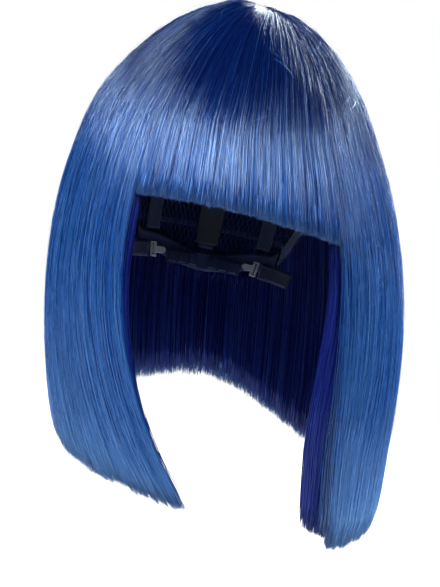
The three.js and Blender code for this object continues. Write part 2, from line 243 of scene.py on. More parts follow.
def new_mesh(name, points, quads, material, uv, shares, triangles=None):
    """A smooth mesh object from millimetre points, with a (u, v) and named shares for each point."""
    mesh = bpy.data.meshes.new(name)
    mesh.vertices.add(len(points))
    mesh.vertices.foreach_set("co", (np.asarray(points, float) * MM).astype(np.float32).ravel())
    loops = np.asarray(quads, np.int32).reshape(-1)
    starts = np.arange(0, len(loops), 4, dtype=np.int32)
    if triangles is not None:
        extra = np.asarray(triangles, np.int32).reshape(-1)
        starts = np.concatenate([starts, len(loops) + np.arange(0, len(extra), 3, dtype=np.int32)])
        loops = np.concatenate([loops, extra])
    mesh.loops.add(len(loops))
    mesh.loops.foreach_set("vertex_index", loops)
    mesh.polygons.add(len(starts))
    mesh.polygons.foreach_set("loop_start", starts)
    layer = mesh.uv_layers.new(name="strand")
    layer.data.foreach_set("uv", np.asarray(uv, np.float32)[loops].ravel())
    mesh.update(calc_edges=True)
    mesh.validate()
    for key, values in shares.items():
        attribute = mesh.attributes.new(key, "FLOAT", "POINT")
        attribute.data.foreach_set("value", np.asarray(values, np.float32).ravel())
    mesh.shade_smooth()
    mesh.materials.append(material)
    piece = bpy.data.objects.new(name, mesh)
    SCENE.collection.objects.link(piece)
    return piece


def strand_mesh(name, paths, normals, widths, material, ids, lift=0.32, shares=None):
    """Closed strands from (strand, point, xyz) paths and normals and (strand, point) widths."""
    count, steps = paths.shape[:2]
    tangents = unit(np.gradient(paths, axis=1))
    sides = unit(np.cross(tangents, normals))
    tops = np.cross(sides, tangents)
    half = widths[..., None] / 2
    ring = np.stack([paths - sides * half, paths + tops * half * 2 * lift, paths + sides * half], 2)
    index = np.arange(count * steps * 3).reshape(count, steps, 3)
    near, far = index[:, :-1], index[:, 1:]
    faces = []
    for k in range(3):
        j = (k + 1) % 3
        faces.append(np.stack([near[..., k], near[..., j], far[..., j], far[..., k]], -1).reshape(-1, 4))
    caps = np.concatenate([index[:, 0, ::-1], index[:, -1]])
    spans = np.linalg.norm(np.diff(paths, axis=1), axis=-1)
    along = np.concatenate([np.zeros((count, 1)), np.cumsum(spans, 1)], 1)
    u = ids[:, None, None] + np.array([-0.5, 0, 0.5]) * 0.012
    v = along[..., None] * MM * 10
    uv = np.stack(np.broadcast_arrays(u, v), -1).reshape(-1, 2)
    shares = {key: np.repeat(values.reshape(-1), 3) for key, values in (shares or {}).items()}
    return new_mesh(name, ring.reshape(-1, 3), np.concatenate(faces), material, uv, shares, caps)


def plate_mesh(name, outer, inner, material, uv, shares=None):
    """A closed plate between two grids of (row, column, xyz) points."""
    rows, columns = outer.shape[:2]
    top = np.arange(rows * columns).reshape(rows, columns)
    shift = rows * columns
    corners = [top[:-1, :-1], top[:-1, 1:], top[1:, 1:], top[1:, :-1]]
    front = np.stack(corners, -1).reshape(-1, 4)
    border = np.concatenate([top[0, :-1], top[:-1, -1], top[-1, :0:-1], top[:0:-1, 0]])
    following = np.roll(border, -1)
    walls = np.stack([following, border, border + shift, following + shift], -1)
    quads = np.concatenate([front, front[:, ::-1] + shift, walls])
    points = np.concatenate([outer.reshape(-1, 3), inner.reshape(-1, 3)])
    both = np.concatenate([uv.reshape(-1, 2)] * 2)
    shares = {key: np.concatenate([values.reshape(-1)] * 2) for key, values in (shares or {}).items()}
    return new_mesh(name, points, quads, material, both, shares)


# ---- materials ----


class Nodes:
    """A material's nodes: make() adds one, link() joins two sockets and drive() feeds the shader."""

    def __init__(self, name):
        self.material = bpy.data.materials.new(name)
        self.material.use_nodes = True
        self.tree = self.material.node_tree
        self.shader = self.tree.nodes["Principled BSDF"]

    def make(self, kind, **settings):
        node = self.tree.nodes.new(f"ShaderNode{kind}")
        for key, value in settings.items():
            if key in node.inputs:
                node.inputs[key].default_value = value
            else:
                setattr(node, key, value)
        return node

    def link(self, source, target):
        self.tree.links.new(source, target)

    def drive(self, socket, source):
        self.link(source, self.shader.inputs[socket])

    def set(self, **values):
        for key, value in values.items():
            self.shader.inputs[key.replace("_", " ")].default_value = value

    def stretched(self, scale):
        """The strand coordinates, scaled across and along."""
        place = self.make("UVMap", uv_map="strand")
        stretch = self.make("Mapping")
        stretch.inputs["Scale"].default_value = (*scale, 1)
        self.link(place.outputs["UV"], stretch.inputs["Vector"])
        return stretch.outputs["Vector"]

    def noise(self, vector, scale=1.0, detail=2.0):
        node = self.make("TexNoise", Scale=scale, Detail=detail)
        self.link(vector, node.inputs["Vector"])
        return node.outputs["Fac"]

    def ramp(self, source, stops):
        node = self.make("ValToRGB")
        node.color_ramp.elements[0].position = stops[0][0]
        node.color_ramp.elements[1].position = stops[-1][0]
        for place, _ in stops[1:-1]:
            node.color_ramp.elements.new(place)
        for element, (_, colour) in zip(node.color_ramp.elements, stops):
            element.color = (*colour, 1)
        self.link(source, node.inputs["Fac"])
        return node.outputs["Color"]

    def remap(self, source, low, high, start=0.0, end=1.0):
        node = self.make("MapRange")
        for socket, value in zip(("From Min", "From Max", "To Min", "To Max"), (start, end, low, high)):
            node.inputs[socket].default_value = value
        self.link(source, node.inputs["Value"])
        return node.outputs["Result"]

    def mix(self, factor, a, b, blend="MIX"):
        node = self.make("Mix", data_type="RGBA", blend_type=blend)
        for socket, value in ((node.inputs[0], factor), (node.inputs[6], a), (node.inputs[7], b)):
            if isinstance(value, bpy.types.NodeSocket):
                self.link(value, socket)
            elif isinstance(value, tuple):
                socket.default_value = (*value, 1)
            else:
                socket.default_value = value
        return node.outputs[2]

    def bump(self, height, strength, distance):
        node = self.make("Bump", Strength=strength, Distance=distance)
        self.link(height, node.inputs["Height"])
        self.drive("Normal", node.outputs["Normal"])


def hair_material(name, deep, mid, light, ends, gloss=1.0):
    """Combed synthetic fibre: streaks of three widths, lighter ends that are partly a painted highlight,
    painted shade towards the deep colour over the crown and by the face, and a gloss that spreads across.
    """
    n = Nodes(name)
    broad = n.noise(n.stretched((2.2, 0.35)), detail=3.0)
    medium = n.noise(n.stretched((14.0, 0.5)), detail=2.0)
    fine = n.noise(n.stretched((90.0, 0.3)), detail=1.0)
    colour = n.mix(
        0.5,
        n.ramp(broad, [(0.36, deep), (0.5, mid), (0.66, light)]),
        n.ramp(medium, [(0.38, deep), (0.5, mid), (0.63, light)]),
    )
    colour = n.mix(0.5, colour, n.ramp(fine, [(0.36, deep), (0.5, mid), (0.64, light)]))
    tip = n.make("Attribute", attribute_name="tip")
    root = n.make("Attribute", attribute_name="root")
    streaked = n.make("Math", operation="MULTIPLY")
    n.link(tip.outputs["Fac"], streaked.inputs[0])
    n.link(n.remap(medium, 0.05, 0.9, 0.35, 0.65), streaked.inputs[1])
    # the lighter ends, partly a painted highlight
    colour = n.mix(streaked.outputs[0], colour, ends)
    # painted shade: darker towards the deep colour over the crown and along the face
    colour = n.mix(n.remap(root.outputs["Fac"], 0, 0.85), colour, deep)
    n.drive("Base Color", colour)
    n.drive("Roughness", n.remap(fine, 0.16, 0.46, 0.25, 0.75))
    n.drive("Specular IOR Level", n.remap(medium, 0.12 * gloss, gloss, 0.36, 0.64))
    tangent = n.make("Tangent", direction_type="UV_MAP", uv_map="strand")
    n.drive("Tangent", tangent.outputs["Tangent"])
    n.bump(n.mix(0.5, fine, medium), 0.55, 0.0008)
    n.set(Metallic=0.2, Anisotropic=0.95, IOR=1.75, Specular_Tint=(0.58, 0.78, 0.92, 1))
    return n.material


def woven_material(name, colour, pitch=0.5, rough=0.75):
    """Woven or knitted tape, from coordinates in millimetres along and across it."""
    n = Nodes(name)
    weave = []
    for direction in ("X", "Y"):
        wave = n.make("TexWave", wave_type="BANDS", bands_direction=direction, Scale=0.31 / pitch)
        wave.inputs["Distortion"].default_value = 0.4
        n.link(n.stretched((1, 1)), wave.inputs["Vector"])
        weave.append(wave.outputs["Fac"])
    crossing = n.mix(0.5, weave[0], weave[1], "MULTIPLY")
    cloud = n.noise(n.stretched((0.12, 0.12)), detail=4.0)
    dark = tuple(0.45 * c for c in colour)
    pale = tuple(min(1, 1.5 * c + 0.01) for c in colour)
    raised = n.ramp(cloud, [(0.3, colour), (0.75, pale)])
    n.drive("Base Color", n.mix(n.remap(crossing, 0.1, 0.9), dark, raised))
    n.drive("Roughness", n.remap(cloud, rough - 0.1, rough + 0.1))
    n.bump(crossing, 0.6, 0.0003)
    n.set(Sheen_Weight=0.2, Sheen_Roughness=0.4)
    return n.material


def thread_material(name, dark, pale, rough=0.6):
    """Twisted thread."""
    n = Nodes(name)
    twist = n.noise(n.stretched((30, 3)), detail=2.0)
    n.drive("Base Color", n.ramp(twist, [(0.3, dark), (0.7, pale)]))
    n.drive("Roughness", n.remap(twist, rough - 0.1, rough + 0.15))
    return n.material


def plastic_material(name):
    """Clear moulded plastic, slightly frosted by handling."""
    n = Nodes(name)
    place = n.make("TexCoord")
    cloud = n.noise(place.outputs["Object"], scale=900.0, detail=4.0)
    dark, pale = (0.62, 0.68, 0.78), (0.8, 0.84, 0.9)
    n.drive("Base Color", n.ramp(cloud, [(0.3, dark), (0.7, pale)]))
    n.drive("Roughness", n.remap(cloud, 0.12, 0.34))
    n.bump(cloud, 0.15, 0.0002)
    n.set(Transmission_Weight=0.55, IOR=1.49)
    return n.material


def paper_material(name, radius):
    """White paper that takes a soft shadow in the middle and glows evenly towards its edge."""
    n = Nodes(name)
    place = n.make("TexCoord")
    cloud = n.noise(place.outputs["Object"], scale=3.0)
    dark, pale = (0.78, 0.78, 0.78), (0.82, 0.82, 0.82)
    n.drive("Base Color", n.ramp(cloud, [(0.3, dark), (0.7, pale)]))
    n.set(Roughness=0.9)
    reach = n.make("VectorMath", operation="LENGTH")
    n.link(place.outputs["Object"], reach.inputs[0])
    glow = n.make("Emission", Strength=1.02)
    fade = n.make("MixShader")
    n.link(n.remap(reach.outputs["Value"], 0.35, 1, 0.25 * radius, 0.9 * radius), fade.inputs["Fac"])
    n.link(n.shader.outputs[0], fade.inputs[1])
    n.link(glow.outputs[0], fade.inputs[2])
    n.link(fade.outputs[0], n.tree.nodes["Material Output"].inputs["Surface"])
    return n.material


HAIR_BLUE = hair_material(
    "hair_fibre",
    deep=(0.0006, 0.004, 0.055),
    mid=(0.0008, 0.027, 0.185),
    light=(0.005, 0.095, 0.37),
    # the lighter ends' colour, partly a painted highlight
    ends=(0.07, 0.2, 0.48),
)
# a darker, less glossy copy of the fibre for the hair inside: painted shade
UNDER_PAINTED_SHADE_BLUE = hair_material(
    "under_hair_fibre",
    deep=(0.002, 0.003, 0.05),
    mid=(0.005, 0.011, 0.125),
    light=(0.012, 0.036, 0.23),
    ends=(0.01, 0.018, 0.17),
    gloss=0.3,
)
# a lighter copy of the fibre for glints, strays and flyaways: painted highlight
HIGHLIT_STRAY_BLUE = hair_material(
    "stray_fibre",
    deep=(0.006, 0.06, 0.3),
    mid=(0.02, 0.12, 0.42),
    light=(0.11, 0.28, 0.6),
    ends=(0.1, 0.28, 0.6),
)
NET = thread_material("net_thread", (0.004, 0.011, 0.05), (0.012, 0.03, 0.12))
STITCH = thread_material("sewing_thread", (0.012, 0.035, 0.16), (0.04, 0.09, 0.32), rough=0.5)
RIBBON = woven_material("ribbon_weave", (0.012, 0.036, 0.15))
ELASTIC = woven_material("elastic_weave", (0.009, 0.022, 0.09), pitch=0.9)
WEFT_TAPE = woven_material("weft_tape", (0.01, 0.04, 0.24), pitch=0.4)
SATIN = woven_material("parting_satin", (0.5, 0.5, 0.48), pitch=0.25, rough=0.4)
LABEL_SATIN = woven_material("label_satin", (0.05, 0.06, 0.1), pitch=0.25, rough=0.4)
PLASTIC = plastic_material("hook_plastic")


# ---- hair ----


# Where each thing happens on the way down: from a turn in degrees, over how many more. The flare is in
# millimetres below the frame's origin instead.
STRETCHES = {"gather": (50, 90), "drift": (75, 45), "stray": (65, 60), "comb": (72, 50), "flare": (120, 60)}
# end and fade: the turns over which the painted shade on the crown fades out; emerge and sunk: over what
# turn a strand comes up from under the surface and how deep it starts
ROOTS = {"end": 60, "fade": 20, "emerge": 12, "sunk": 2.0}
# the share of a front lock's width that its painted shade by the face covers
SHADE_WIDTH = 0.5
CORNER_WIDTH = 0.1
STRAY_WIDTH = 0.08
AT_WHORL = 0.35  # the share of full-length strands that spring from the whorl itself
SHORTEST = 9  # the least turn that a strand takes
TAPER = 3  # the turn over which it thins to its tip
UV_ACROSS = 12  # the strand coordinates' span across a lock


def eased(value, name):
    """From 0 to 1 as a value passes through a named stretch."""
    start, length = STRETCHES[name]
    return smooth((value - start) / length)


class Lock:
    """One section of hair: how its strands run and where they end."""

    bend = (14, -22)  # heights between which it leaves the crown; not used
    clumps = 26
    feather = 2.2  # how uneven its hem is
    corner = 0.0  # how far its front corner is cut up
    flare = 0.0  # how far its ends stand out
    light_end_with_highlight = 34.0  # the length of its lighter ends, which are partly a painted highlight
    pale = 1.0  # how light they are, the painted highlight included
    loose = 0.0  # how far hairs stray over its front edge
    comb = 0.0  # how far its lower part is combed towards its front edge
    shaded = 0.0  # how much painted shade lies along its front edge
    extra = ()  # CAD nodes on the crown that it also stands for

    def __init__(self, name, nodes, azimuth, tip, **settings):
        self.name, self.nodes, self.azimuth, self.tip = name, nodes, azimuth, tip
        for key, value in settings.items():
            setattr(self, key, value)

    def ride(self, piece, layer="hair"):
        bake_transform(piece)
        return piece

    def cut(self, share):
        """The height of the hem at a share of the lock's width, and its azimuth there."""
        azimuth = self.azimuth(share, self.tip(self.azimuth(share, np.full(np.shape(share), -100.0))))
        return self.tip(azimuth) + self.corner * np.exp(-share / CORNER_WIDTH), azimuth

    def shares(self, height, edge, turn, share):
        """How far a point is into the lighter ends, which are partly a painted highlight, and into the
        painted shade over the crown and along the face.
        """
        shade = self.shaded * smooth(1 - share / SHADE_WIDTH)
        tip = self.pale * (1 - shade) * smooth(1 - (height - edge) / self.light_end_with_highlight)
        root = np.maximum(shade, smooth((ROOTS["end"] - turn) / ROOTS["fade"]))
        return {"tip": tip * np.ones_like(turn), "root": root}


def strand_starts(draw, count, roots, edge, evenly):
    """The turns at which strands spring, scattered evenly over the crown or else over the turns."""
    low, high = roots
    if evenly:
        spread = np.degrees(np.arcsin(draw.uniform(*np.sin(np.radians(roots)), count)))
        start = np.where(draw.uniform(0, 1, count) < AT_WHORL, low + draw.uniform(0, 3, count), spread)
    else:
        start = draw.uniform(low, high, count)
    return np.minimum(start, turn_to(edge) - SHORTEST)


def uneven_ends(draw, lock, nearest, feather):
    """How far above the hem each strand ends, on its own account and with its clump."""
    ragged = lock.feather * feather
    own = draw.gamma(2, ragged * 0.7, len(nearest))
    clump = np.abs(draw.normal(0, ragged * 0.6, lock.clumps))[nearest]
    return own + clump - lock.feather


def combed(draw, lock, share, middle, turn, t, pull):
    """Each strand's share of the lock's width on its way down, and how many degrees it drifts aside."""
    count = len(share)
    gather = pull * eased(turn, "gather") * draw.uniform(0.3, 1, count)[:, None]
    way = share[:, None] + (middle - share)[:, None] * gather
    drift = draw.normal(0, 0.12, (count, 1)) * np.sin(t * draw.uniform(2, 5, (count, 1)))
    drift = drift + draw.normal(0, 0.5, (count, 1)) * eased(turn, "drift")
    stray = np.abs(draw.normal(0, lock.loose, (count, 1))) * np.exp(-share[:, None] / STRAY_WIDTH)
    way = way - stray * eased(turn, "stray")
    way = way - lock.comb * eased(turn, "comb") * np.sin(np.pi * np.clip(way, 0, 1))
    return way, drift


def lock_strands(
    lock, count, seed, depths, widths, roots=(2, 60), evenly=True, steps=16, shorter=0, feather=1.0, pull=0.3
):
    """Paths, normals, widths, numbers and shares of a lock's strands, combed into soft clumps."""
    draw = np.random.default_rng(seed)
    share = np.sort(draw.uniform(0, 1, count))
    middles = np.sort(draw.uniform(0, 1, lock.clumps))
    nearest = np.abs(share[:, None] - middles).argmin(1)
    edge, reached = lock.cut(share)
    start = strand_starts(draw, count, roots, edge, evenly)
    rise = uneven_ends(draw, lock, nearest, feather)
    t = np.linspace(0, 1, steps)
    turn = lerp(start[:, None], turn_to(edge + shorter + rise)[:, None], t)
    height = level(turn)
    way, drift = combed(draw, lock, share, middles[nearest], turn, t, pull)
    azimuth = lock.azimuth(way, height) + drift + swirl(turn)
    layer = draw.beta(1.1, 1.8, count) * (depths[1] - depths[0]) + depths[0]
    emerge = np.clip(1 - (turn - start[:, None]) / ROOTS["emerge"], 0, 1) ** 2
    own = draw.uniform(0.15, 0.6, (count, 1))
    own = own * np.sin(turn * draw.uniform(0.12, 0.3, (count, 1)) + draw.uniform(0, 2 * np.pi, (count, 1)))
    depth = layer[:, None] + emerge * ROOTS["sunk"] + swell(reached[:, None], height) + own
    depth = depth - hump(azimuth, turn) - lock.flare * eased(-height, "flare")
    paths = on_hair(azimuth, height, depth)
    normals = hair_normals(azimuth, height)
    sideways = unit(np.cross(normals, np.gradient(paths, axis=1)))
    roll = draw.normal(0, 0.14, (count, 1, 1))
    normals = normals * np.cos(roll) + sideways * np.sin(roll)
    to_tip = (1 - t) * (turn_to(edge) - start)[:, None]
    width = draw.uniform(*widths, count)[:, None] * (0.4 + 0.6 * smooth(t / 0.12))
    width = width * (0.2 + 0.8 * smooth(to_tip / TAPER))
    ids = share * UV_ACROSS + draw.normal(0, 0.02, count)
    return paths, normals, width, ids, lock.shares(height, edge[:, None], turn, share[:, None])


def add_strands(lock, name, count, seed, material, layer="hair", **shape):
    paths, normals, widths, ids, shares = lock_strands(lock, count, seed, **shape)
    return lock.ride(strand_mesh(name, paths, normals, widths, material, ids, shares=shares), layer)


def add_base(lock, name, depths, shorter, inset):
    """The dense hair under the strands: a closed sheet with combed ridges."""
    columns, rows, top_turn = 220, 60, 3.0
    share = np.linspace(inset[0], 1 - inset[1], columns)
    edge, azimuth = lock.cut(share)
    t = np.linspace(0, 1, rows)[:, None]
    turn = lerp(top_turn, turn_to(edge + shorter)[None, :], t)
    height = level(turn)
    run = lock.azimuth(share[None, :], height) + swirl(turn)
    ridges = np.random.default_rng(columns).normal(0, 0.16, columns)[None, :]
    depth = depths[0] + ridges + swell(azimuth[None, :], height) - hump(run, turn)
    depth = depth - lock.flare * eased(-height, "flare")
    outer = on_hair(run, height, depth)
    inner = on_hair(run, height, depth + depths[1] - depths[0])
    uv = np.stack(np.broadcast_arrays(share * UV_ACROSS, turn * MM * 18), -1)
    shares = lock.shares(height, edge[None, :], turn, share[None, :])
    return lock.ride(plate_mesh(name, outer, inner, HAIR_BLUE, uv, shares))


def side_azimuth(name, first, last):
    """The azimuth at a share of a stretch of one side, which runs from the face's edge to the back."""

    def azimuth(share, height):
        return SIDES[name] * lerp(front_edge(height, name), EDGE["back"], lerp(first, last, share))

    return azimuth


def under_azimuth(name):
    """The same for the under layer of a front lock, whose front edge sweeps on its way down."""

    def azimuth(share, height):
        swept = lerp(UNDER_START[name] * smooth(-height / 130), EDGE["front_lock"], share)
        return SIDES[name] * lerp(front_edge(height, name), EDGE["back"], swept)

    return azimuth


def fringe_azimuth(share, height):
    return lerp(-EDGE["fringe"], EDGE["fringe"], share)


def back_azimuth(share, height):
    return lerp(EDGE["back"], 360 - EDGE["back"], share)


ON_SIDE = {
    # the lighter ends, partly a painted highlight, reach further and are lighter on the wearer's left
    "left": {"flare": 4.5, "comb": 0.2, "light_end_with_highlight": 80.0, "pale": 1.5},
    "right": {"flare": 0, "comb": 0.06, "light_end_with_highlight": 50.0, "pale": 1.1},
}
# each front lock's cut corner, hairs loose over its edge, and painted shade along the face
AT_FACE = {
    "left": {"corner": 9, "loose": 0.06, "shaded": 0.5},
    "right": {"corner": 2, "loose": 0.02, "shaded": 0.2},
}
LOCKS = [
    Lock(
        "fringe",
        ("fringe_hair", "fringe_under_hair"),
        fringe_azimuth,
        fringe_edge,
        extra=("crown_hair_front",),
        bend=(62, 34), clumps=60, feather=1.2, light_end_with_highlight=12.0, pale=0.25,
    ),
    Lock(
        "back",
        ("back_hair", "back_under_hair"),
        back_azimuth,
        hem,
        extra=("crown_hair_back",),
        clumps=40, pale=0.4,
    ),
]
for name in SIDES:
    front = Lock(
        f"{name}_front",
        (f"{name}_front_lock", f"{name}_front_under_hair"),
        side_azimuth(name, 0, EDGE["front_lock"]),
        hem,
        clumps=16,
        **AT_FACE[name],
        **ON_SIDE[name],
    )
    side = Lock(
        f"{name}_side",
        (f"{name}_side_hair", f"{name}_side_under_hair"),
        side_azimuth(name, EDGE["front_lock"], 1),
        hem,
        extra=(f"crown_hair_{name}",),
        **ON_SIDE[name],
    )
    LOCKS += [front, side]

DENSITY = 1.0
OUTER_COUNT = {"fringe": 2100, "front": 2100, "side": 2100, "back": 2100}
UNDER_COUNT = {"fringe": 900, "front": 1800, "side": 1300, "back": 1800}
ENDS_COUNT = {"fringe": 1800, "front": 1600, "side": 2200, "back": 2400}
ENDS_FROM = {"fringe": (50, 58), "front": (98, 106), "side": (98, 106), "back": (88, 98)}
BASE_DEPTHS = (2.6, 5.2)
BASE_SHORTER = {"fringe": 5, "front": 11, "side": 8, "back": 8}
BASE_INSET = {"fringe": (0.015, 0.015), "front": (0.04, 0), "side": (0, 0), "back": (0, 0)}
UNDER_DEPTHS = {"fringe": (5.2, 8.6), "front": (5.4, 11.5), "side": (5.4, 11.5), "back": (5.4, 11.5)}
UNDER_SHORTER = {"fringe": 3, "front": 5, "side": 5, "back": 5}
GLINT_COUNT = 280
STRAY_COUNT = 16

# What the layers of strands are like
OUTER = {"depths": (0.1, 3.0), "widths": (0.3, 0.7)}
ENDS = {"depths": (0.3, 5.4), "widths": (0.35, 0.8), "steps": 7, "pull": 0.15, "feather": 1.5}
UNDER = {"widths": (0.7, 1.3), "roots": (52, 62)}
# glints: lighter strands lying on the surface, painted highlight streaks
GLINTS = {"depths": (-0.5, 0.4), "widths": (0.18, 0.32), "roots": (46, 84), "pull": 0.2, "feather": 2}
STRAYS = {"depths": (-2.2, 0.2), "widths": (0.12, 0.22), "roots": (4, 55), "pull": 0, "feather": 5}


def add_under(lock, kind, seed):
    """The hair inside a lock, in a darker copy of the fibre that is painted shade, cut with it but neither
    flared nor given the painted shade by the face.
    """
    under = Lock(lock.name, lock.nodes, lock.azimuth, lock.tip, bend=lock.bend, clumps=lock.clumps)
    under.corner = lock.corner
    if kind == "front":
        under.azimuth = under_azimuth(lock.name.split("_")[0])
    shape = {"depths": UNDER_DEPTHS[kind], "shorter": UNDER_SHORTER[kind], "evenly": False, **UNDER}
    count = round(UNDER_COUNT[kind] * DENSITY)
    hair = add_strands(under, f"{lock.name}_under", count, seed, UNDER_PAINTED_SHADE_BLUE, "under_hair", **shape)
    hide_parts(lock.nodes[1])


def add_lock(lock, seed):
    """A lock's dense base and its layers of strands, from the densest to the last loose hairs."""
    kind = lock.name.split("_")[-1]
    base = add_base(lock, f"{lock.name}_base", BASE_DEPTHS, BASE_SHORTER[kind], BASE_INSET[kind])
    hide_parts(lock.nodes[0], *lock.extra)
    count = round(OUTER_COUNT[kind] * DENSITY)
    for layer in ("top",) if kind == "front" else ("top", "second"):
        seed += 1
        add_strands(lock, f"{lock.name}_{layer}_hair", count, seed, HAIR_BLUE, **OUTER)
    count = round(ENDS_COUNT[kind] * DENSITY)
    shape = {"roots": ENDS_FROM[kind], "evenly": False, **ENDS}
    add_strands(lock, f"{lock.name}_ends", count, seed + 30, HAIR_BLUE, **shape)
    add_under(lock, kind, seed + 50)
    count = round(GLINT_COUNT * DENSITY)
    add_strands(lock, f"{lock.name}_glints", count, seed + 60, HIGHLIT_STRAY_BLUE, evenly=False, **GLINTS)
    add_strands(lock, f"{lock.name}_strays", STRAY_COUNT, seed + 70, HIGHLIT_STRAY_BLUE, **STRAYS)


def add_whorl():
    """The short pale parting that shows where the hair springs from the crown."""
    length, width, turned, thick, sunk = 3.2, 0.9, math.radians(-35), 2.5, 0.9
    along = np.linspace(-1, 1, 25)[None, :]
    across = np.linspace(-1, 1, 9)[:, None]
    narrowed = across * width * np.sqrt(1 - along**2 * 0.96)
    x = along * length * np.cos(turned) - narrowed * np.sin(turned)
    y = along * length * np.sin(turned) + narrowed * np.cos(turned)
    rise = HAIR["crown"] - sunk - 0.004 * (x**2 + y**2) - 0.4 * across**2
    outer = np.stack(np.broadcast_arrays(x, y, rise), -1)
    uv = np.stack(np.broadcast_arrays(along * length, across * width), -1)
    parting = plate_mesh("crown_parting", outer, outer - UP * thick, SATIN, uv)
    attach(parting, "cap")
    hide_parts("crown_whorl")


def add_flyaways(count=46, seed=900):
    """Short broken hairs that stand off the crown in their own directions."""
    draw = np.random.default_rng(seed)
    t = np.linspace(0, 1, 10)
    place = draw.uniform(-180, 180, (count, 1))
    start = draw.uniform(12, 52, (count, 1))
    long = draw.uniform(4, 11, (count, 1))
    aside = draw.normal(0, 9, (count, 1))
    curl = draw.normal(0, 6, (count, 1))
    turn = start + long * t
    azimuth = place + (aside * t + curl * t**2) / np.sin(np.radians(turn))
    height = level(turn)
    stand = draw.uniform(2.0, 5.0, (count, 1))
    depth = 1.5 - stand * np.sin(np.pi * np.minimum(1, t * draw.uniform(0.6, 1, (count, 1))))
    paths = on_hair(azimuth, height, depth)
    normals = hair_normals(azimuth, height)
    widths = draw.uniform(0.16, 0.26, (count, 1)) * (0.3 + 0.7 * np.sin(np.pi * t))
    # in the lighter copy of the fibre, a painted highlight
    hair = strand_mesh("flyaway_hair", paths, normals, widths, HIGHLIT_STRAY_BLUE, place[:, 0])
    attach(hair, "cap")


# ---- cap ----


def arc(azimuths, height):
    """The length round the head between two azimuths, in millimetres."""
    path = on_head(np.linspace(*azimuths, 60), height, 0)
    return np.linalg.norm(np.diff(path, axis=0), axis=1).sum()


def finish_piece(piece, body, slot, *nodes):
    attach(piece, body)
    if nodes:
        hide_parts(*nodes)


def lengths(grid, axis):
    """The length travelled so far along one axis of a grid of points."""
    return np.cumsum(np.linalg.norm(np.diff(grid, axis=axis, prepend=grid.take([0], axis)), axis=2), axis)


def tape(name, azimuths, low, high, distances, material, columns, rows=9, selvedge=0.22):
    """A closed woven tape on the head, a little thicker along its edges and thin at them."""
    wide, thin = 0.28, 0.12
    azimuth = np.linspace(*azimuths, columns)[None, :]
    v = np.linspace(0, 1, rows)[:, None]
    height = lerp(low(azimuth), high(azimuth), v)
    edge = np.clip(np.abs(2 * v - 1) - (1 - wide), 0, 1) / wide
    thicker = selvedge * np.sin(np.pi * edge) - thin * (edge == 1)
    outer = on_head(azimuth, height, distances[1] + thicker)
    inner = on_head(azimuth, height, distances[0] - thicker)
    uv = np.stack([lengths(outer, 1), lengths(outer, 0)], -1)
    return plate_mesh(name, outer, inner, material, uv)


def stitches(name, azimuths, height, distance, body, pitch=2.6, long=1.7, zigzag=0.0):
    """A row of raised stitches along a line on the head, standing out from the face that they are on."""
    level_height = float(np.mean(height(np.array(azimuths, float))))
    count = max(2, round(arc(azimuths, level_height) / pitch))
    middle = lerp(*azimuths, (np.arange(count) + 0.5) / count)
    share = long / pitch / count * (azimuths[1] - azimuths[0]) / 2
    t = np.linspace(-1, 1, 5)
    azimuth = middle[:, None] + share * t
    heights = height(azimuth) + zigzag * t * np.where(np.arange(count) % 2, 1, -1)[:, None]
    face, arch, thick = np.sign(distance + 0.1), 0.25, 0.5
    paths = on_head(azimuth, heights, distance + arch * face * (1 - t**2))
    normals = head_normals(azimuth, heights) * face
    widths = thick * (0.5 + 0.5 * np.sqrt(1 - t**2)) * np.ones((count, 1))
    thread = strand_mesh(name, paths, normals, widths, STITCH, np.arange(count) * 0.37)
    finish_piece(thread, body, "ribbon")


def add_band(
    node,
    body,
    azimuths,
    low,
    high,
    length,
    columns,
    material=RIBBON,
    distances=RIBBON_AT,
):
    """A ribbon of the cap with a row of stitches along each edge, inside."""
    piece = tape(f"{node}_ribbon", azimuths, low, high, distances, material, columns)
    finish_piece(piece, body, "elastic" if material is ELASTIC else "ribbon", node)
    near, margin = distances[0] - THREAD, 1.6
    ends = (lerp(*azimuths, 0.02), lerp(*azimuths, 0.98))
    stitches(f"{node}_seam_low", ends, lambda a: low(a) + margin, near, body)
    stitches(f"{node}_seam_high", ends, lambda a: high(a) - margin, near, body)


def add_net():
    """The stretch net over the crown: two families of threads that cross as diamonds."""
    around, rows, apart = 150, 46, 2.2
    top = HEAD["crown"] + apart
    polar = np.linspace(0.16, 1, rows)
    lean = np.repeat([1, -1], around)[:, None]
    start = np.tile(np.arange(around) * 360 / around, 2)
    azimuth = start[:, None] + lean * np.arange(rows) * 180 / around
    height = top * np.cos(polar * np.arccos(rim(azimuth) / top))
    paths = on_head(azimuth, height, apart + 0.2 * lean)
    normals = head_normals(azimuth, height)
    widths = np.full(azimuth.shape, 0.7)
    ids = np.arange(2 * around) * 0.7
    piece = strand_mesh("crown_net_threads", paths, normals, widths, NET, ids, lift=0.9)
    finish_piece(piece, "cap", "net", "crown_net")


def over_rim(azimuth):
    return rim(azimuth) + BAND["width"]


def level_line(height):
    return lambda azimuth: height + 0 * np.asarray(azimuth, float)


